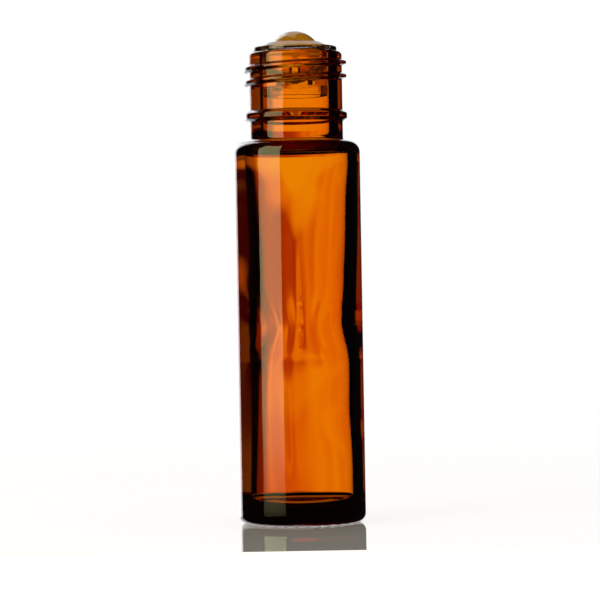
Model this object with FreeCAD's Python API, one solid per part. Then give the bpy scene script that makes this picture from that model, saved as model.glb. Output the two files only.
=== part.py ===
import FreeCAD, Part
import math
import os

# Roll-on bottle: moulded glass with a screw neck, a press-in roller housing and its ball.
# Millimetres. +Z runs up the bottle, and the origin is the centre of the ring it stands on.

# Glass, outside
overall_height = 74.0
body_diameter = 20.0
heel_radius = 1.4
bearing_width = 1.3
push_up_height = 1.1
push_up_flank = 2.8
push_up_radius = 3.0
finish_height = 14.0
shoulder_fall = 0.3
shoulder_radius = 1.7
neck_diameter = 14.8
neck_root_radius = 0.6
rim_outer_radius = 0.65
rim_inner_radius = 0.4

# Ring below the thread, by which the glass is held while it is moulded
ring_proud = 0.7
ring_depth = 10.1
ring_crest_width = 0.85
ring_root_width = 1.7
ring_edge_radius = 0.25

# Screw thread for a cap: right-handed, sinking into the neck at both ends
thread_proud = 0.7
thread_pitch = 2.117
thread_top_depth = 1.32
thread_low_angle = 110.0
thread_turn_angle = 680.0
thread_run_out_angle = 70.0
thread_crest_width = 0.45
thread_root_width = 1.35
thread_bite = 0.35
thread_sections_per_turn = 12

# Grip marks round the heel
mark_count = 30
mark_width = 0.9
mark_depth = 0.22
mark_reach = 0.9

# Glass, inside: the wall is thickest at the waist, where the blown glass settled
neck_wall = 2.15
throat_radius = 3.0
roof_thickness = 1.15
roof_drop = 0.95
roof_corner_radius = 0.8
upper_wall = 1.9
upper_length = 13.9
sag_wall = 1.95
sag_radius = 70.0
sag_length = 10.0
waist_wall = 2.7
waist_top_radius = 28.0
waist_length = 3.6
waist_low_radius = 18.0
belly_wall = 2.1
belly_drop = 3.6
belly_radius = 18.0
floor_wall = 1.95
floor_height = 3.1
floor_crown = 0.5
floor_corner_radius = 1.3

# Roller housing: a plug in the bore, with a flange on the rim and a socket round the ball
plug_wall = 1.1
plug_clearance = 0.15
bead_clearance = 0.04
bead_width = 0.7
bead_depths = (2.2, 3.8)
flange_overlap = 1.35
flange_thickness = 0.8
flange_edge_radius = 0.25
collar_overlap = 0.35
lip_height = 1.5
lip_wall = 0.55
lip_edge_radius = 0.2
seat_thickness = 0.8
skirt_drop = 1.5
feed_hole_diameter = 4.0
feed_slot_count = 4
feed_slot_width = 0.8
feed_slot_depth = 0.4

# Ball, trapped loosely in the socket
socket_wall = 0.8
ball_clearance = 0.1
ball_sink = 0.9

overrun = 1.0
rounding_fit_share = 0.95

axis = FreeCAD.Vector(0, 0, 1)
outward = FreeCAD.Vector(1, 0, 0)
origin = FreeCAD.Vector(0, 0, 0)

body_radius = body_diameter / 2
neck_radius = neck_diameter / 2
bore_radius = neck_radius - neck_wall
skirt_radius = bore_radius - plug_clearance
socket_radius = skirt_radius - socket_wall
ball_height = overall_height - ball_sink
shoulder_height = overall_height - finish_height


def at(radius, height):
    """A point of a section, which lies in the XZ plane."""
    return FreeCAD.Vector(radius, 0, height)


def sides_of(points, index):
    """The two sides that leave a corner of a closed outline, as vectors."""
    return points[index - 1] - points[index], points[(index + 1) % len(points)] - points[index]


def rounding_reaches(corners, points):
    """How far each rounding runs along its sides, cut back where a side is too short for both its ends."""
    wanted = []
    for index, (radius, height, rounding) in enumerate(corners):
        before, after = sides_of(points, index)
        wanted.append(rounding / math.tan(before.getAngle(after) / 2))
    reaches = []
    for index, reach in enumerate(wanted):
        before, after = sides_of(points, index)
        fits = [reach]
        for side, neighbour in ((before, wanted[index - 1]), (after, wanted[(index + 1) % len(wanted)])):
            if reach + neighbour > side.Length:
                fits.append(reach * rounding_fit_share * side.Length / (reach + neighbour))
        reaches.append(min(fits))
    return reaches


def outline(corners):
    """A closed wire through (radius, height, rounding) corners, with a tangent arc at each rounding."""
    points = [at(radius, height) for radius, height, rounding in corners]
    edges = []
    ends = []
    for index, reach in enumerate(rounding_reaches(corners, points)):
        before, after = (side.normalize() for side in sides_of(points, index))
        start = points[index] + before * reach
        end = points[index] + after * reach
        if reach > 0:
            half_angle = before.getAngle(after) / 2
            sagitta = reach / math.cos(half_angle) - reach * math.tan(half_angle)
            middle = points[index] + (before + after).normalize() * sagitta
            edges.append(Part.Arc(start, middle, end).toShape())
        ends.append((start, end))
    for index, (start, end) in enumerate(ends):
        edges.append(Part.LineSegment(ends[index - 1][1], start).toShape())
    return Part.Wire(Part.__sortEdges__(edges))


def turned(corners):
    """The solid that an outline sweeps round the bottle's axis."""
    return Part.Face(outline(corners)).revolve(origin, axis, 360)


def around(shape, count):
    """Copies of a shape, spaced evenly round the bottle's axis."""
    copies = []
    for index in range(count):
        copy = shape.copy()
        copy.rotate(origin, axis, index * 360 / count)
        copies.append(copy)
    return copies


def glass_outside():
    """Corners of the moulded outside, from the middle of the base up to the rim."""
    ring_radius = neck_radius + ring_proud
    ring_height = overall_height - ring_depth
    ring_crest = ring_crest_width / 2
    ring_root = ring_root_width / 2
    bearing_radius = body_radius - heel_radius - bearing_width
    return [
        (0, push_up_height, 0),
        (bearing_radius - push_up_flank, push_up_height, push_up_radius),
        (bearing_radius, 0, 0),
        (body_radius, 0, heel_radius),
        (body_radius, shoulder_height - shoulder_fall, shoulder_radius),
        (neck_radius, shoulder_height, neck_root_radius),
        (neck_radius, ring_height - ring_root, ring_edge_radius),
        (ring_radius, ring_height - ring_crest, ring_edge_radius),
        (ring_radius, ring_height + ring_crest, ring_edge_radius),
        (neck_radius, ring_height + ring_root, ring_edge_radius),
        (neck_radius, overall_height, rim_outer_radius),
    ]


def glass_inside():
    """Corners of the blown inside, from the rim down to the middle of the floor."""
    roof_height = shoulder_height - roof_thickness
    corner_height = roof_height - roof_drop
    sag_height = corner_height - upper_length
    waist_height = sag_height - sag_length
    waist_low_height = waist_height - waist_length
    return [
        (bore_radius, overall_height, rim_inner_radius),
        (bore_radius, roof_height, throat_radius),
        (body_radius - upper_wall, corner_height, roof_corner_radius),
        (body_radius - sag_wall, sag_height, sag_radius),
        (body_radius - waist_wall, waist_height, waist_top_radius),
        (body_radius - waist_wall, waist_low_height, waist_low_radius),
        (body_radius - belly_wall, waist_low_height - belly_drop, belly_radius),
        (body_radius - floor_wall, floor_height, floor_corner_radius),
        (0, floor_height + floor_crown, 0),
    ]


def thread_section(rise):
    """The thread's section at the start of its helix, standing proud of the neck by rise."""
    root = neck_radius - thread_bite
    crest = neck_radius + rise
    half_root = thread_root_width / 2
    half_crest = thread_crest_width / 2
    corners = [at(root, -half_root), at(crest, -half_crest), at(crest, half_crest), at(root, half_root)]
    return Part.makePolygon(corners + corners[:1])


def thread():
    """A loft along the helix, through sections that rise out of the neck and sink into it again."""
    climb = thread_pitch * thread_turn_angle / 360
    start = overall_height - thread_top_depth - climb
    steps = round(thread_turn_angle / 360 * thread_sections_per_turn)
    sections = []
    for step in range(steps + 1):
        angle = thread_turn_angle * step / steps
        run_out_share = min(1, min(angle, thread_turn_angle - angle) / thread_run_out_angle)
        rise = (thread_proud + thread_bite / 2) * run_out_share - thread_bite / 2
        ridge = thread_section(rise)
        ridge.translate(axis * (start + climb * step / steps))
        ridge.rotate(origin, axis, thread_low_angle + angle)
        sections.append(ridge)
    return Part.makeLoft(sections, True)


def grip_mark():
    """A round-bottomed notch across the heel, which leaves the bearing ring whole on its inner side."""
    radius = (mark_width ** 2 / 4 + mark_depth ** 2) / (2 * mark_depth)
    start = at(body_radius - heel_radius - bearing_width + mark_reach, mark_depth - radius)
    return Part.makeCylinder(radius, heel_radius + bearing_width, start, outward)


def glass_bottle():
    """The glass: its turned wall and thread in one, with the grip marks cut from the heel."""
    wall = turned(glass_outside() + glass_inside())
    glass = wall.fuse(thread()).cut(around(grip_mark(), mark_count))
    return glass.removeSplitter()


def sealing_bead(depth):
    """Corners of one bead on the plug, listed upwards."""
    height = overall_height - depth
    bead_radius = bore_radius - bead_clearance
    slope = plug_clearance - bead_clearance
    half = bead_width / 2
    return [
        (skirt_radius, height - half, 0),
        (bead_radius, height - half + slope, 0),
        (bead_radius, height + half - slope, 0),
        (skirt_radius, height + half, 0),
    ]


def roller_housing():
    """The plug, hollow below its seat, with the ball's socket, feed hole and feed slots cut out of it."""
    lip = overall_height + lip_height
    flange_top = overall_height + flange_thickness
    flange_radius = bore_radius + flange_overlap
    mouth_radius = math.sqrt(socket_radius ** 2 - (lip - ball_height) ** 2)
    feed_radius = feed_hole_diameter / 2
    seat = ball_height - math.sqrt(socket_radius ** 2 - feed_radius ** 2) - seat_thickness
    bottom = seat - skirt_drop
    bore_corners = [(skirt_radius - plug_wall, seat, 0), (skirt_radius - plug_wall, bottom, 0)]
    beads = [corner for depth in sorted(bead_depths, reverse=True) for corner in sealing_bead(depth)]
    flange_corners = [
        (skirt_radius, overall_height, 0),
        (flange_radius, overall_height, flange_edge_radius),
        (flange_radius, flange_top, flange_edge_radius),
        (bore_radius + collar_overlap, flange_top, flange_edge_radius),
        (mouth_radius + lip_wall, lip, lip_edge_radius),
    ]
    skirt_corners = [(skirt_radius, bottom, 0)] + beads
    plug = turned([(0, seat, 0)] + bore_corners + skirt_corners + flange_corners + [(0, lip, 0)])
    socket = Part.makeSphere(socket_radius, at(0, ball_height))
    feed_hole = Part.makeCylinder(feed_radius, ball_height - seat + overrun, at(0, seat - overrun))
    slot_reach = socket_radius + feed_slot_depth
    corner = FreeCAD.Vector(0, -feed_slot_width / 2, seat - overrun)
    slot = Part.makeBox(slot_reach, feed_slot_width, ball_height - seat + overrun, corner)
    return plug.cut([socket, feed_hole] + around(slot, feed_slot_count)).removeSplitter()


def roller_ball():
    """The ball, smaller than its socket by the clearance all round."""
    return Part.makeSphere(socket_radius - ball_clearance, at(0, ball_height))


pieces = {
    "glass_bottle": glass_bottle(),
    "roller_housing": roller_housing(),
    "roller_ball": roller_ball(),
}

os.makedirs("parts", exist_ok=True)
for node, shape in pieces.items():
    shape.exportStep("parts/" + node + ".step")
    print(node, "solids", len(shape.Solids), "volume", round(shape.Volume, 1), "valid", shape.isValid())
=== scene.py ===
# %% [markdown]
# # An amber roll-on bottle
# A small bottle of amber glass stands on a pale floor. A clear housing is pressed into its mouth and holds a glass
# ball, which rolls the liquid out. The construction was made elsewhere, at its real size, and this lesson dresses
# it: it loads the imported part, blows a smooth glass wall round it, and lights it the way glass is lit in a studio.

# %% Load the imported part
import math

import bmesh
import bpy
from mathutils import Matrix, Vector


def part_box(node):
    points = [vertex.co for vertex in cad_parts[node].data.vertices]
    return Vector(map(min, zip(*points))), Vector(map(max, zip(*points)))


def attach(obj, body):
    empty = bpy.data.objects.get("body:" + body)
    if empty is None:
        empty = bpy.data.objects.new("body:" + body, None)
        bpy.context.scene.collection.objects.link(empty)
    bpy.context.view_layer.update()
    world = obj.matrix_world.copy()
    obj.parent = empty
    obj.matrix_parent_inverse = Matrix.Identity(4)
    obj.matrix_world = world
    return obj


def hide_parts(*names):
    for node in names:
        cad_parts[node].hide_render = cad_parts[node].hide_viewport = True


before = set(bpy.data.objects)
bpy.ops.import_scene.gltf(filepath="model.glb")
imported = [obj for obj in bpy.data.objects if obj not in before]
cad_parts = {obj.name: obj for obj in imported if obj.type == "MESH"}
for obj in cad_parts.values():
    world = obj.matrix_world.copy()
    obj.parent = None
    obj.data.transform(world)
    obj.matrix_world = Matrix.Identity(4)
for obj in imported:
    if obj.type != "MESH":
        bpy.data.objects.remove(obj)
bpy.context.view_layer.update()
glass_low, glass_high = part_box("glass_bottle")
mm = 0.001
print("glass", round((glass_high.z - glass_low.z) / mm, 2), "mm tall")

# %% [markdown]
# ## The camera
# The picture is taken from the height of the bottle's middle with a long lens, so the upright sides stay almost
# parallel. The camera leans by one degree. It could be placed by eye, but its distance follows from two things that
# can be measured: how far the base is seen from above, and how far the rim is seen from below.

# %% Camera
camera_distance = 435 * mm
camera_height = 38.5 * mm
aim_height = 35.0 * mm
aim_side = 0.17 * mm
picture_width = 94.5 * mm
camera_lean = math.radians(-1.0)

camera = bpy.data.objects.new("camera", bpy.data.cameras.new("camera"))
bpy.context.scene.collection.objects.link(camera)
camera.data.angle = 2 * math.atan(picture_width / 2 / camera_distance)
camera.location = (aim_side, -camera_distance, camera_height)
aim = Vector((aim_side, 0, aim_height)) - camera.location
camera.rotation_euler = aim.to_track_quat("-Z", "Y").to_euler()
camera.rotation_euler.rotate_axis("Z", camera_lean)
camera.data.clip_start = 10 * mm
bpy.context.scene.camera = camera
bpy.context.scene.view_settings.view_transform = "Standard"
print("camera angle", round(math.degrees(camera.data.angle), 2), "degrees")


# %% [markdown]
# ## Tools for node trees
# Every material and the studio's surroundings are node trees. They could be clicked together in the Shader Editor.
# Here a few small helpers add nodes, do sums and mix colours, which keeps the later cells short.

# %% Node helpers
def add(tree, kind, inputs=None, **settings):
    """A new node, with its settings and the values or links of its input sockets."""
    made = tree.nodes.new(kind)
    for name, value in settings.items():
        setattr(made, name, value)
    for socket, value in (inputs or {}).items():
        if isinstance(value, bpy.types.NodeSocket):
            tree.links.new(value, made.inputs[socket])
        else:
            made.inputs[socket].default_value = value
    return made


def math_node(tree, operation, first, second=0.0):
    """The result of one sum, from sockets or plain numbers."""
    return add(tree, "ShaderNodeMath", {0: first, 1: second}, operation=operation).outputs[0]


def mix_colour(tree, factor, one, two):
    """One colour where the factor is 0, the other where it is 1."""
    made = add(tree, "ShaderNodeMix", {"Factor": factor}, data_type="RGBA")
    colours = [socket for socket in made.inputs if socket.type == "RGBA"]
    for socket, value in zip(colours, (one, two)):
        if isinstance(value, bpy.types.NodeSocket):
            tree.links.new(value, socket)
        else:
            socket.default_value = value
    return next(socket for socket in made.outputs if socket.type == "RGBA")


def ease(tree, value, start, end, low=0.0, high=1.0):
    """A smooth change from low to high while the value goes from start to end."""
    limits = {"Value": value, "From Min": start, "From Max": end, "To Min": low, "To Max": high}
    return add(tree, "ShaderNodeMapRange", limits, interpolation_type="SMOOTHSTEP").outputs[0]


def new_material(name):
    """An empty material: its node tree and its output node."""
    material = bpy.data.materials.new(name)
    material.use_nodes = True
    material.node_tree.nodes.clear()
    return material, material.node_tree, add(material.node_tree, "ShaderNodeOutputMaterial")


def grey(level):
    """A colour without hue."""
    return (level, level, level, 1)


print("node helpers ready")

# %% [markdown]
# ## The studio's surroundings
# Clear things show what is around them, so glass is lit by choosing what it sees. The camera sees plain white.
# Light that has come through the bottle sees a warm backdrop, darker on the left. Light that turned back inside the
# wall leaves near the bottle's edge, where a photographer stands black cards: those draw the dark edges. Cards and
# cloths could be modelled, but here all of it is in the world's nodes, by the direction and the kind of each ray.

# %% Directions
world = bpy.data.worlds.new("studio")
bpy.context.scene.world = world
world.use_nodes = True
studio = world.node_tree
studio.nodes.clear()
ray = add(studio, "ShaderNodeLightPath")
direction = add(studio, "ShaderNodeTexCoord").outputs["Generated"]
split = add(studio, "ShaderNodeSeparateXYZ", {0: direction})
turn = math_node(studio, "ARCTAN2", split.outputs["X"], split.outputs["Y"])
rise = math_node(studio, "ARCSINE", split.outputs["Z"])
fall = math_node(studio, "MULTIPLY", rise, -1.0)


def warm(level):
    """White at level 1, and a warmer colour the darker it is."""
    return (level, level ** 1.9, level ** 3, 1)


def tan(level):
    """Like warm, but with less colour."""
    return (level, level ** 1.55, level ** 2.2, 1)


def amber_shade(level):
    """Orange where it is dark, and almost white at level 1 but for its blue."""
    return (level, level * (0.26 + 0.7 * level ** 5), 0.4 * level ** 3, 1)


def by_turn(stops, colour_of):
    """Colours by the turn from straight behind the bottle, in degrees, positive to the right."""
    share = add(studio, "ShaderNodeMapRange", {"Value": turn, "From Min": -math.pi / 2, "From Max": math.pi / 2})
    ramp = add(studio, "ShaderNodeValToRGB", {0: share.outputs[0]})
    elements = ramp.color_ramp.elements
    for index, (degrees, level) in enumerate(stops):
        place = degrees / 180 + 0.5
        element = elements[index] if index < 2 else elements.new(place)
        element.position = place
        element.color = colour_of(level)
    return ramp.outputs["Color"]


def band(slope, near_start, near_end, far_start, far_end):
    """1 for slopes between the near and the far limits, in degrees, with soft ends."""
    starts = ease(studio, slope, math.radians(near_start), math.radians(near_end))
    ends = ease(studio, slope, math.radians(far_start), math.radians(far_end))
    return math_node(studio, "SUBTRACT", starts, ends)


print("directions from", len(studio.nodes), "nodes")

# %% [markdown]
# ## What shines through the glass
# Behind the bottle stands a bright, warm backdrop that the glass bends and squeezes, so a narrow slice of it fills
# the body. Its left side lies in shade and its right side is bright, with faint folds that show as upright streaks.
# It could be a painted card, but five slices, from high to low, are easier to match to the body's colour from top
# to bottom. Far above it is dark, and far below a plain grey stands in for the floor.

# %% Light through the glass
far_left = [(-90, 0.9), (-75, 0.0)]
high = by_turn(far_left + [(-45, 0.0), (-38, 0.4), (-14, 0.46), (-11, 0.95), (-5, 1.0)], tan)
upper = by_turn(far_left + [
    (-20, 0.0), (-17, 0.06), (-14.5, 0.14), (-12, 0.5), (-8, 0.86), (-3, 0.84), (1, 0.95), (4, 1.0), (6, 0.96),
    (8, 1.0), (12, 0.97), (15, 1.0)], amber_shade)
level = by_turn(far_left + [
    (-17, 0.0), (-15, 0.06), (-13, 0.32), (-11, 0.42), (-7, 0.52), (-4.5, 0.44), (-1, 0.5), (1, 0.72), (3, 0.9),
    (5, 0.82), (7, 0.96), (10, 0.93), (13, 1.0), (18, 0.95), (24, 1.0)], amber_shade)
waist = by_turn(far_left + [
    (-21, 0.0), (-18.5, 0.2), (-12, 0.3), (-10.5, 0.55), (-7, 0.94), (-4, 0.88), (-1, 0.92), (2, 0.96),
    (4, 1.0)], amber_shade)
low = by_turn(far_left + [
    (-21, 0.0), (-18.5, 0.17), (-12, 0.22), (-10.5, 0.48), (-7, 0.84), (-4, 0.74), (-1, 0.8), (2, 0.9), (4, 0.97),
    (6, 0.93), (9, 1.0), (13, 0.95), (17, 1.0)], amber_shade)
print("five slices of the backdrop")

# %% Slices stacked by height
floor_level = 0.36
seen_through = mix_colour(studio, band(rise, 0.6, 1.3, 4.8, 6.5), level, upper)
seen_through = mix_colour(studio, band(rise, 1.0, 1.9, 4.8, 6.5), seen_through, high)
seen_through = mix_colour(studio, band(fall, 0.6, 2.2, 6, 9), seen_through, low)
seen_through = mix_colour(studio, band(fall, 1.2, 1.7, 2.0, 2.6), seen_through, waist)
dark_above = ease(studio, rise, math.radians(12), math.radians(16))
seen_through = mix_colour(studio, dark_above, seen_through, grey(0.0))
floor_below = ease(studio, fall, math.radians(9), math.radians(12))
seen_through = mix_colour(studio, floor_below, seen_through, grey(floor_level))
print("slices stacked with", len(studio.nodes), "nodes")

# %% [markdown]
# ## Dark edges and bright reflections
# Near the bottle's sides the light can't get out of the far face of the wall and turns back to the sides, where
# black cards stand. On the left a little light gets past them, which leaves a brown edge. Real cards would need a
# place for each height of the bottle, so here they are pictures by direction too. What the outside of the glass
# mirrors is one more: bright only behind the bottle, and dark on the camera's side.

# %% Light turned back and reflected
front_level = 0.008
edge_neck = by_turn([(-58, 0.0), (-52, 0.2), (-12, 0.2), (-6, 0.3), (7, 0.3), (11, 0.1), (15, 0.0)], grey)
edge_high = by_turn([(-58, 0.0), (-52, 0.5), (7, 0.5), (11, 0.1), (15, 0.0)], grey)
edge_level = by_turn([(-58, 0.0), (-52, 0.04), (-12, 0.05), (-6, 0.28), (4, 0.28), (8, 0.0)], warm)
edge_low = by_turn([(-58, 0.0), (-52, 0.13), (-12, 0.16), (-6, 0.3), (4, 0.3), (8, 0.0)], grey)
turned_back = mix_colour(studio, band(rise, 0.2, 1.2, 2.5, 3.0), edge_level, edge_high)
turned_back = mix_colour(studio, band(rise, 2.5, 3.0, 4.6, 5.1), turned_back, edge_neck)
turned_back = mix_colour(studio, band(fall, 0.9, 2.2, 4.6, 5.8), turned_back, edge_low)
turned_high = ease(studio, rise, math.radians(5.5), math.radians(8))
turned_low = ease(studio, fall, math.radians(6), math.radians(9))
turned_back = mix_colour(studio, math_node(studio, "MAXIMUM", turned_high, turned_low), turned_back, grey(0.0))
reflected = by_turn([(-38, front_level), (-34, 1.0), (9, 1.0), (13, front_level)], grey)
print("four edges and one reflection")

# %% [markdown]
# ## Which light a ray meets
# A ray that crossed both walls sees the backdrop, and one that turned back inside a wall sees the dark edges. Light
# that turns back more often stays in the thick glass, and almost none of it gets out. Every bounce could be traced
# to its end, but counting the faces that a ray has crossed tells these cases apart at once. The floor is lit
# evenly, and the camera sees white.

# %% Light by the kind of ray
light_level = 1.0
trapped_level = 0.008
one_wall_faces = 2.5
glass_alone_faces = 7.5
turns_in_wall = 1.5
faces_crossed = ray.outputs["Transmission Depth"]
walls_crossed = math_node(studio, "GREATER_THAN", faces_crossed, one_wall_faces)
through = mix_colour(studio, walls_crossed, turned_back, seen_through)
turns_allowed = math_node(studio, "SUBTRACT", turns_in_wall, walls_crossed)
trapped = math_node(studio, "GREATER_THAN", ray.outputs["Glossy Depth"], turns_allowed)
in_glass_alone = math_node(studio, "LESS_THAN", faces_crossed, glass_alone_faces)
trapped = math_node(studio, "MULTIPLY", trapped, in_glass_alone)
through = mix_colour(studio, trapped, through, grey(trapped_level))
from_floor = math_node(studio, "GREATER_THAN", ray.outputs["Diffuse Depth"], 0.5)
colour = mix_colour(studio, ray.outputs["Is Glossy Ray"], grey(light_level), reflected)
colour = mix_colour(studio, ray.outputs["Is Transmission Ray"], colour, through)
colour = mix_colour(studio, from_floor, colour, grey(light_level))
colour = mix_colour(studio, ray.outputs["Is Camera Ray"], colour, grey(1.0))
backdrop = add(studio, "ShaderNodeBackground", {"Color": colour})
add(studio, "ShaderNodeOutputWorld", {"Surface": backdrop.outputs[0]})
print("surroundings", len(studio.nodes), "nodes")

# %% [markdown]
# ## The soft light and the rim light
# One tall soft light stands at the left, a little towards the camera, and the upright glass mirrors it as a strip
# with straight edges. It fades at its foot, and the strip fades with it. A second light far round to the left and
# behind draws the pale line down the bottle's left edge. Both are area lamps, as points of light would leave no
# strip, and both shine on the glass but not through it.

# %% Lights
light_distance = 420 * mm
light_height = 600 * mm
light_foot = -60 * mm


def upright_light(name, turned, width, radiance, colour):
    """A tall area lamp that faces the bottle, turned to the left from the camera by an angle in degrees."""
    lamp = bpy.data.lights.new(name, "AREA")
    lamp.shape = "RECTANGLE"
    lamp.size = width
    lamp.size_y = light_height
    lamp.energy = radiance * math.pi * width * light_height
    lamp.color = colour
    made = bpy.data.objects.new(name, lamp)
    bpy.context.scene.collection.objects.link(made)
    towards = Vector((-math.sin(math.radians(turned)), -math.cos(math.radians(turned)), 0))
    made.location = towards * light_distance + Vector((0, 0, light_foot + light_height / 2))
    made.rotation_euler = (-towards).to_track_quat("-Z", "Y").to_euler()
    made.visible_camera = False
    print(name, round(width, 3), "m wide")
    return made


softbox = upright_light("softbox", turned=51.5, width=331 * mm, radiance=3.2, colour=(1.0, 1.0, 0.5))
rim_light = upright_light("rim_light", turned=153, width=210 * mm, radiance=1.8, colour=(1.0, 1.0, 1.0))
for lamp in (softbox, rim_light):
    lamp.visible_transmission = False
rim_light.visible_diffuse = False

# %% Fading foot of the soft light
fade_low, fade_high = -40 * mm, 2 * mm
foot_share = 0.12
softbox.data.use_nodes = True
tree = softbox.data.node_tree
tree.nodes.clear()
height = add(tree, "ShaderNodeSeparateXYZ", {0: add(tree, "ShaderNodeNewGeometry").outputs["Position"]}).outputs["Z"]
glow = add(tree, "ShaderNodeEmission", {"Strength": ease(tree, height, fade_low, fade_high, low=foot_share)})
add(tree, "ShaderNodeOutputLight", {"Surface": glow.outputs[0]})
print("softbox fades over", round((fade_high - fade_low) / mm), "mm")

# %% [markdown]
# ## The floor
# The bottle stands on a polished white sheet, which mirrors its foot. The sheet ends a little in front of the
# bottle, and a matt floor goes on from there and fades into the white. The sheet could be one glossy material, but
# a polished surface mirrors much more at a glancing view than from above, so the share of mirror follows the angle.
# Light that has met the glass passes the floor by and sees the surroundings instead.

# %% Floor
floor_size = 1.2
floor_squares = 8
floor_gap = 0.02 * mm
bm = bmesh.new()
bmesh.ops.create_grid(bm, x_segments=floor_squares, y_segments=floor_squares, size=floor_size / 2)
floor_mesh = bpy.data.meshes.new("floor")
bm.to_mesh(floor_mesh)
bm.free()
floor = bpy.data.objects.new("floor", floor_mesh)
bpy.context.scene.collection.objects.link(floor)
floor.location.z = -floor_gap
print("floor", floor_size, "m")

# %% Polished sheet
floor_fade_near = 70 * mm
floor_fade_far = 260 * mm
sheet_front = -46 * mm
mirror_start, mirror_end, mirror_most = 0.7, 0.91, 0.85
floor_material, tree, output = new_material("polished_floor")
place_vector = add(tree, "ShaderNodeTexCoord").outputs["Object"]
place = add(tree, "ShaderNodeSeparateXYZ", {0: place_vector})
away = add(tree, "ShaderNodeVectorMath", {0: place_vector}, operation="LENGTH").outputs["Value"]
on_sheet = math_node(tree, "GREATER_THAN", place.outputs["Y"], sheet_front)
facing = add(tree, "ShaderNodeLayerWeight", {"Blend": 0.5}).outputs["Facing"]
mirror_share = math_node(tree, "MULTIPLY", ease(tree, facing, mirror_start, mirror_end, high=mirror_most), on_sheet)
speckle = add(tree, "ShaderNodeTexNoise", {"Scale": 900.0, "Detail": 3.0})
shade = mix_colour(tree, speckle.outputs["Fac"], (0.92, 0.87, 0.82, 1), (0.95, 0.9, 0.85, 1))
shade = mix_colour(tree, on_sheet, grey(0.92), shade)
matt = add(tree, "ShaderNodeBsdfDiffuse", {"Color": shade})
mirror = add(tree, "ShaderNodeBsdfGlossy", {"Color": grey(0.98), "Roughness": 0.03})
sheet = add(tree, "ShaderNodeMixShader", {0: mirror_share, 1: matt.outputs[0], 2: mirror.outputs[0]})
by_glass = add(tree, "ShaderNodeLightPath").outputs["Is Glossy Ray"]
gone = math_node(tree, "MAXIMUM", ease(tree, away, floor_fade_near, floor_fade_far), by_glass)
clear = add(tree, "ShaderNodeBsdfTransparent")
faded = add(tree, "ShaderNodeMixShader", {0: gone, 1: sheet.outputs[0], 2: clear.outputs[0]})
tree.links.new(faded.outputs[0], output.inputs["Surface"])
floor.data.materials.append(floor_material)
print("floor material", len(tree.nodes), "nodes")

# %% [markdown]
# ## Black cards round the thick glass
# The real glass lets almost no light through its base and its shoulder, where it is thickest. Darker glass would do
# the same here, but the whole body would turn dark with it. So two low black cards, bent into rings, keep the light
# behind from shining through those two places. Only light that leaves the glass meets them.

# %% Black cards
card_radius = 12.0 * mm
card_spans = [(0.5 * mm, 3.3 * mm), (59.2 * mm, 61.0 * mm)]
bm = bmesh.new()
for card_low, card_high in card_spans:
    lift = Matrix.Translation((0, 0, (card_low + card_high) / 2))
    bmesh.ops.create_cone(bm, cap_ends=False, segments=64, radius1=card_radius, radius2=card_radius,
                          depth=card_high - card_low, matrix=lift)
card_mesh = bpy.data.meshes.new("black_cards")
bm.to_mesh(card_mesh)
bm.free()
cards = bpy.data.objects.new("black_cards", card_mesh)
bpy.context.scene.collection.objects.link(cards)

card_material, tree, output = new_material("black_card")
card_ray = add(tree, "ShaderNodeLightPath")
from_glass = math_node(tree, "MULTIPLY", card_ray.outputs["Is Transmission Ray"],
                       math_node(tree, "LESS_THAN", card_ray.outputs["Diffuse Depth"], 0.5))
nap = add(tree, "ShaderNodeTexNoise", {"Scale": 4000.0})
black = add(tree, "ShaderNodeBsdfDiffuse", {"Color": mix_colour(tree, nap.outputs["Fac"], grey(0.002), grey(0.004))})
open_air = add(tree, "ShaderNodeBsdfTransparent")
card_surface = add(tree, "ShaderNodeMixShader", {0: from_glass, 1: open_air.outputs[0], 2: black.outputs[0]})
tree.links.new(card_surface.outputs[0], output.inputs["Surface"])
cards.data.materials.append(card_material)
print("black cards", len(card_spans))


# %% [markdown]
# ## The glass wall's outline
# The bottle is round, so its wall is one outline turned about the upright axis. It could be carved from a cylinder,
# but a chain of a few corners is easier to measure. A vertex bevel rounds each corner, longer edges are cut into
# rows, which the thread needs later, and a full spin makes the skin.

# %% Outline helpers
rounding_segments = 8
merge_distance = 0.001 * mm


def outline(corners):
    """A chain of edges through (radius, height, rounding) corners in millimetres, with the corners rounded."""
    bm = bmesh.new()
    places = [Vector((radius, 0, height)) * mm for radius, height, rounding in corners]
    chain = [bm.verts.new(place) for place in places]
    for one, two in zip(chain, chain[1:]):
        bm.edges.new((one, two))
    for index, (radius, height, rounding) in enumerate(corners):
        if rounding:
            before = places[index - 1] - places[index]
            after = places[index + 1] - places[index]
            reach = rounding * mm / math.tan(before.angle(after) / 2)
            bmesh.ops.bevel(bm, geom=[chain[index]], offset=reach, offset_type="OFFSET",
                            segments=rounding_segments, profile=0.5, affect="VERTICES", material=-1)
    return bm


def cut_rows(bm, spacing_at):
    """Cuts each edge into rows no further apart than the spacing that its middle asks for."""
    for edge in list(bm.edges):
        spacing = spacing_at((edge.verts[0].co + edge.verts[1].co) / 2)
        cuts = int(edge.calc_length() / spacing)
        if cuts:
            bmesh.ops.subdivide_edges(bm, edges=[edge], cuts=cuts)


def turn_round(bm, steps):
    """Turns the chain about the upright axis into a closed, outward-facing skin."""
    bmesh.ops.spin(bm, geom=bm.verts[:] + bm.edges[:], cent=(0, 0, 0), axis=(0, 0, 1), angle=2 * math.pi,
                   steps=steps, use_merge=True)
    bmesh.ops.remove_doubles(bm, verts=bm.verts[:], dist=merge_distance)
    bmesh.ops.recalc_face_normals(bm, faces=bm.faces[:])
    for face in bm.faces:
        face.smooth = True


print("outline helpers ready")

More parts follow.
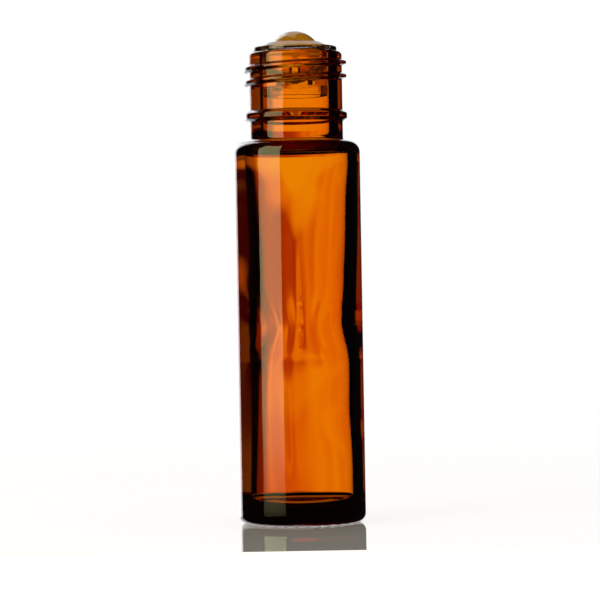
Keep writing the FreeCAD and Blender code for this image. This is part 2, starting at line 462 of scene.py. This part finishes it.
# %% [markdown]
# ## The glass skin
# Outside, the glass took the shape of its mould: a straight body, a rounded shoulder, a neck with a ring, and a
# hollow under the base so that it stands on a narrow ring. Inside, only air shaped it, so its wall is thickest at
# the waist, at the shoulder and at the base. The corners below are listed from the middle of the base, up the
# outside, over the rim and down the inside.

# %% Glass outline
glass_height = glass_high.z / mm
body_radius = glass_high.x / mm
neck_radius = 7.4
ring_radius = 8.1
bore_radius = 5.25
shoulder = 60.0
ring = 63.9
outside = [
    (0, 1.1, 0), (4.5, 1.1, 3.0), (7.3, 0, 0.1), (body_radius, 0, 1.4),
    (body_radius, shoulder - 0.3, 1.7), (neck_radius, shoulder, 0.6),
    (neck_radius, ring - 0.85, 0.25), (ring_radius, ring - 0.425, 0.25),
    (ring_radius, ring + 0.425, 0.25), (neck_radius, ring + 0.85, 0.25),
    (neck_radius, glass_height, 0.65),
]
inside = [
    (bore_radius, glass_height, 0.4), (bore_radius, 58.95, 3.0), (8.1, 58.35, 0.8), (8.05, 44.0, 70.0),
    (7.3, 34.0, 28.0), (7.3, 30.4, 18.0), (7.9, 26.8, 18.0), (8.05, 3.1, 1.3), (0, 3.6, 0),
]
print("glass outline", len(outside + inside), "corners")

# %% Glass skin
thread_low = 67.5
thread_margin = 0.1
foot_inner, foot_top = 7.5, 0.5
thread_row = 0.085 * mm
wall_row = 1.0 * mm
foot_row = 0.2 * mm
glass_steps = 240


def glass_row_spacing(middle):
    """Close rows on the neck's outside and the foot, where thread and notches come, and wide ones elsewhere."""
    if middle.x > (neck_radius - thread_margin) * mm and middle.z > thread_low * mm:
        return thread_row
    on_foot = middle.x > foot_inner * mm and middle.z < foot_top * mm
    return foot_row if on_foot else wall_row


glass = outline(outside + inside)
cut_rows(glass, glass_row_spacing)
turn_round(glass, glass_steps)
print("glass skin", len(glass.verts), "vertices")

# %% [markdown]
# ## The screw thread
# The thread is a ridge that climbs round the neck and sinks into it at both ends. It could be a separate strip, but
# real glass is one skin, so the rows on the neck are pushed outwards instead, by how far each point lies from the
# helix.

# %% Thread
thread_pitch = 2.117
thread_start = 68.68
thread_start_angle = 110.0
thread_angle = 680.0
thread_run_out = 70.0
thread_height = 0.7
thread_half_foot = 0.56
thread_half_crest = 0.17
thread_turns = 3
bore_side_limit = 6.6


def smooth_step(value):
    """0 below 0, 1 above 1, and a smooth rise between."""
    value = min(1.0, max(0.0, value))
    return value * value * (3 - 2 * value)


def thread_rise(angle, height):
    """How far the thread stands proud at an angle in degrees and a height in millimetres."""
    proud = 0.0
    for turn_count in range(thread_turns):
        along = angle - thread_start_angle + 360 * turn_count
        if 0 <= along <= thread_angle:
            off = abs(height - thread_start - thread_pitch * along / 360)
            share = smooth_step(min(along, thread_angle - along) / thread_run_out)
            flank = smooth_step((thread_half_foot - off) / (thread_half_foot - thread_half_crest))
            proud = max(proud, thread_height * share * flank)
    return proud


moved = 0
for vertex in glass.verts:
    radius = math.hypot(vertex.co.x, vertex.co.y)
    if radius > bore_side_limit * mm and vertex.co.z > thread_low * mm:
        angle = math.degrees(math.atan2(vertex.co.y, vertex.co.x)) % 360
        proud = thread_rise(angle, vertex.co.z / mm)
        if proud:
            vertex.co.xy *= 1 + proud * mm / radius
            moved += 1
print("thread moved", moved, "vertices")

# %% [markdown]
# ## The uneven inner wall
# The inside of a blown bottle is shaped by air alone, so its wall is a little uneven. Light bends at each wave and
# shows it as a soft upright streak. A bump in the material would bend the light as well, but real waves also show
# from above and in the wall's outline. They lean together at the waist, where the glass settled, most of all at the
# right: there the wall stands in, and at the left it stands back.

# %% Uneven inner wall
waist_low = 25.0
waist_relief_right, waist_relief_left = 0.9, 1.0
waist_side_share = 0.6
wave_low, wave_high, wave_fade = 5, 57, 5
settled_right = [(0.4, 42.0, 13.0), (0.2, 18.0, 5.0)]
settled_left = [(0.22, 44.0, 9.0), (0.12, 22.0, 12.0)]
straight_radius, straight_height = 8.05, 44.0
straight_taper_below, straight_taper_above = 0.145 / 18.6, 0.05 / 14.35
print("uneven between heights", wave_low, "and", wave_high, "mm")


def waist_relief(side, radius, height):
    """How far the waist stands back towards a straight wall, most of all at the left, where it settled least."""
    over = height - straight_height
    straight = straight_radius + over * (straight_taper_above if over > 0 else straight_taper_below)
    inwards = max(0.0, straight - radius) if height > waist_low else 0.0
    if side < 0:
        return inwards * waist_relief_left
    return inwards * waist_relief_right * (1 - waist_side_share * side ** 4)


def wave_share(height):
    """1 along the body, fading to 0 at the floor and at the shoulder."""
    return smooth_step((height - wave_low) / wave_fade) * smooth_step((wave_high - height) / wave_fade)


def settled(side, height):
    """How far the wall stands in at the right and the left, where it settled thicker over part of its height."""
    lumps = settled_right if side > 0 else settled_left
    inwards = sum(size * math.exp(-((height - middle) / reach) ** 2) for size, middle, reach in lumps)
    return wave_share(height) * side ** 2 * inwards


# %% Waves
waves = [(0.050, 7.0, 0.4), (0.026, 11.5, 2.1), (0.014, 18.0, 4.0)]
pinch_share, pinch_height, pinch_reach = 0.4, 31.0, 5.0
back_phase = 1.7
sway_share, sway_length = 0.7, 8
calm_share, calm_start, calm_length = 0.65, 42, 8
inner_low, inner_high = 6.5, 8.4


def wall_wave(side, depth, height):
    """How far the inner wall stands out, in millimetres, from the sideways and front-to-back shares of its radius."""
    pinch = 1 - pinch_share * math.exp(-((height - pinch_height) / pinch_reach) ** 2)
    phase = 0.0 if depth < 0 else back_phase
    wave = 0.0
    for size, count, start in waves:
        sway = sway_share * math.sin(height / sway_length + count)
        wave += size * math.sin(count * side / pinch + start + phase + sway)
    calm = 1 - calm_share * smooth_step((height - calm_start) / calm_length)
    return wave * depth ** 2 * wave_share(height) * calm


moved = 0
for vertex in glass.verts:
    radius = math.hypot(vertex.co.x, vertex.co.y)
    if inner_low * mm < radius < inner_high * mm and wave_low * mm < vertex.co.z < wave_high * mm:
        side = vertex.co.x / radius
        move = wall_wave(side, vertex.co.y / radius, vertex.co.z / mm)
        move += waist_relief(side, radius / mm, vertex.co.z / mm)
        move -= settled(side, vertex.co.z / mm)
        vertex.co.xy *= 1 + move * mm / radius
        moved += 1
print("uneven wall", moved, "vertices")

# %% [markdown]
# ## Grip marks
# Small notches round the heel keep the hot bottle from slipping on the belt that carries it out of the mould. They
# could be cut with a Boolean, thirty times over. The foot already has close rows, so its points are lifted to the
# notches' round bottoms instead.

# %% Grip marks
mark_count = 30
mark_width = 0.9
mark_depth = 0.22
mark_start = 8.2
mark_round = (mark_width ** 2 / 4 + mark_depth ** 2) / (2 * mark_depth)
moved = 0
for vertex in glass.verts:
    radius = math.hypot(vertex.co.x, vertex.co.y) / mm
    if radius > mark_start and vertex.co.z < mark_depth * mm:
        marks_round = math.atan2(vertex.co.y, vertex.co.x) * mark_count / (2 * math.pi)
        off = (marks_round - round(marks_round)) * 2 * math.pi / mark_count * radius
        if abs(off) < mark_width / 2:
            notch = (mark_depth - mark_round + math.sqrt(mark_round ** 2 - off ** 2)) * mm
            vertex.co.z = max(vertex.co.z, notch)
            moved += 1
print("grip marks moved", moved, "vertices")

# %% [markdown]
# ## Handling marks and mould ripple
# Glass and clear plastic are never perfectly clean or smooth. Fingers leave a thin film, which dulls the gloss in
# patches, and the mould leaves a faint ripple. Both could be painted, but noise needs no picture and fits any shape.
# All three materials show both, each with its own size and strength, so each effect is a node group that is built
# once and placed in every material.

# %% Handling marks
marks = bpy.data.node_groups.new("handling_marks", "ShaderNodeTree")
for name, kind in (("Place", "NodeSocketVector"), ("Scale", "NodeSocketFloat"),
                   ("Clean Roughness", "NodeSocketFloat"), ("Handled Roughness", "NodeSocketFloat"),
                   ("Film", "NodeSocketColor")):
    marks.interface.new_socket(name, in_out="INPUT", socket_type=kind)
for name, kind in (("Roughness", "NodeSocketFloat"), ("Tint", "NodeSocketColor")):
    marks.interface.new_socket(name, in_out="OUTPUT", socket_type=kind)
given = add(marks, "NodeGroupInput").outputs
patches = add(marks, "ShaderNodeTexNoise", {"Vector": given["Place"], "Scale": given["Scale"], "Detail": 3.0})
fine_scale = math_node(marks, "MULTIPLY", given["Scale"], 9.0)
smears = add(marks, "ShaderNodeTexNoise", {"Vector": given["Place"], "Scale": fine_scale, "Detail": 4.0,
                                           "Distortion": 1.5})
touched = ease(marks, patches.outputs["Fac"], 0.5, 0.72)
touched = math_node(marks, "MULTIPLY", touched, ease(marks, smears.outputs["Fac"], 0.3, 0.7))
added_roughness = math_node(marks, "SUBTRACT", given["Handled Roughness"], given["Clean Roughness"])
roughness = math_node(marks, "ADD", given["Clean Roughness"], math_node(marks, "MULTIPLY", added_roughness, touched))
film = mix_colour(marks, touched, grey(1.0), given["Film"])
add(marks, "NodeGroupOutput", {"Roughness": roughness, "Tint": film})
print("handling marks", len(marks.nodes), "nodes")

# %% Mould ripple
ripple = bpy.data.node_groups.new("mould_ripple", "ShaderNodeTree")
for name, kind in (("Place", "NodeSocketVector"), ("Scale", "NodeSocketFloat"),
                   ("Upright Stretch", "NodeSocketFloat")):
    ripple.interface.new_socket(name, in_out="INPUT", socket_type=kind)
ripple.interface.new_socket("Height", in_out="OUTPUT", socket_type="NodeSocketFloat")
given = add(ripple, "NodeGroupInput").outputs
upright = math_node(ripple, "DIVIDE", 1.0, given["Upright Stretch"])
stretch = add(ripple, "ShaderNodeCombineXYZ", {"X": 1.0, "Y": 1.0, "Z": upright})
stretched = add(ripple, "ShaderNodeVectorMath", {0: given["Place"], 1: stretch.outputs[0]}, operation="MULTIPLY")
swell = add(ripple, "ShaderNodeTexNoise", {"Vector": stretched.outputs[0], "Scale": given["Scale"], "Detail": 2.0})
add(ripple, "NodeGroupOutput", {"Height": swell.outputs["Fac"]})
print("mould ripple", len(ripple.nodes), "nodes")


# %% [markdown]
# ## Clear finishes
# Each finish is one Principled shader with full transmission. A Glass shader bends light just as well, but the
# Principled one carries over to other programs. Its index of refraction is the real one, its gloss and its film come
# from the handling marks, and the mould ripple reaches it through a Bump node of a few thousandths of a millimetre.

# %% Clear finish helper
def clear_finish(name, ior, marks_scale, clean, handled, film_colour, ripple_scale, stretch, ripple_depth):
    """A see-through material with handling marks and mould ripple."""
    material, tree, output = new_material(name)
    place = add(tree, "ShaderNodeTexCoord").outputs["Object"]
    handling = add(tree, "ShaderNodeGroup", node_tree=marks)
    for socket, value in (("Scale", marks_scale), ("Clean Roughness", clean), ("Handled Roughness", handled),
                          ("Film", film_colour)):
        handling.inputs[socket].default_value = value
    mould = add(tree, "ShaderNodeGroup", node_tree=ripple)
    mould.inputs["Scale"].default_value = ripple_scale
    mould.inputs["Upright Stretch"].default_value = stretch
    for group in (handling, mould):
        tree.links.new(place, group.inputs["Place"])
    bump = add(tree, "ShaderNodeBump", {"Strength": 1.0, "Distance": ripple_depth, "Height": mould.outputs["Height"]})
    shader = add(tree, "ShaderNodeBsdfPrincipled", {
        "Base Color": handling.outputs["Tint"], "Roughness": handling.outputs["Roughness"], "IOR": ior,
        "Transmission Weight": 1.0, "Normal": bump.outputs["Normal"]})
    tree.links.new(shader.outputs[0], output.inputs["Surface"])
    print(name, len(tree.nodes), "nodes")
    return material, tree, output


# %% [markdown]
# ## Amber glass
# Amber glass is coloured all through, with iron and sulphur, so its colour depends on how much of it the light
# crosses: gold at the thin rim, orange through the body and nearly black in the base. A tinted surface would have
# one colour everywhere. A volume that absorbs light gives every thickness its own.

# %% Amber glass
amber_per_mm = (0.99, 0.7, 0.14)
amber_density = 2000.0
amber, tree, output = clear_finish("amber_glass", ior=1.52, marks_scale=110.0, clean=0.0, handled=0.025,
                                   film_colour=(0.975, 0.97, 0.96, 1), ripple_scale=260.0, stretch=5.0,
                                   ripple_depth=0.004 * mm)
absorbed = [1 + math.log(share) / (mm * amber_density) for share in amber_per_mm]
amber_depth = add(tree, "ShaderNodeVolumeAbsorption", {"Color": (*absorbed, 1), "Density": amber_density})
tree.links.new(amber_depth.outputs[0], output.inputs["Volume"])
print("amber absorption colour", [round(value, 3) for value in absorbed])

# %% Glass piece
glass_mesh = bpy.data.meshes.new("blown_glass")
glass.to_mesh(glass_mesh)
glass.free()
glass_piece = bpy.data.objects.new("blown_glass", glass_mesh)
bpy.context.scene.collection.objects.link(glass_piece)
glass_piece.data.materials.append(amber)
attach(glass_piece, "bottle")
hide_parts("glass_bottle")
print("blown glass", sum(len(face.vertices) - 2 for face in glass_mesh.polygons), "triangles")

# %% [markdown]
# ## Clear housing and ball
# The housing is moulded from clear plastic, which is softer than glass and scuffs more, so its marks are rougher
# and its ripple runs closer. The ball is polished glass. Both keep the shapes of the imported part, and only their
# finish is new.

# %% Clear housing and ball
clear_plastic = clear_finish("clear_plastic", ior=1.49, marks_scale=420.0, clean=0.03, handled=0.12,
                             film_colour=(0.95, 0.955, 0.95, 1), ripple_scale=900.0, stretch=3.0,
                             ripple_depth=0.003 * mm)[0]
clear_glass = clear_finish("clear_glass", ior=1.5, marks_scale=300.0, clean=0.0, handled=0.03,
                           film_colour=(0.97, 0.98, 0.975, 1), ripple_scale=500.0, stretch=1.0,
                           ripple_depth=0.001 * mm)[0]
for node_name, finish in (("roller_housing", clear_plastic), ("roller_ball", clear_glass)):
    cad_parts[node_name].data.materials.clear()
    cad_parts[node_name].data.materials.append(finish)
    print(node_name, "takes", finish.name)

# %% [markdown]
# ## Bounces
# A ray that crosses the bottle meets many surfaces: two walls, and in the neck the housing and the ball as well.
# With too few bounces it ends inside the glass and leaves a black spot, so the limits are raised.

# %% Bounces
cycles = bpy.context.scene.cycles
cycles.max_bounces = 32
cycles.transmission_bounces = 32
cycles.glossy_bounces = 16
print("bounces", cycles.max_bounces)
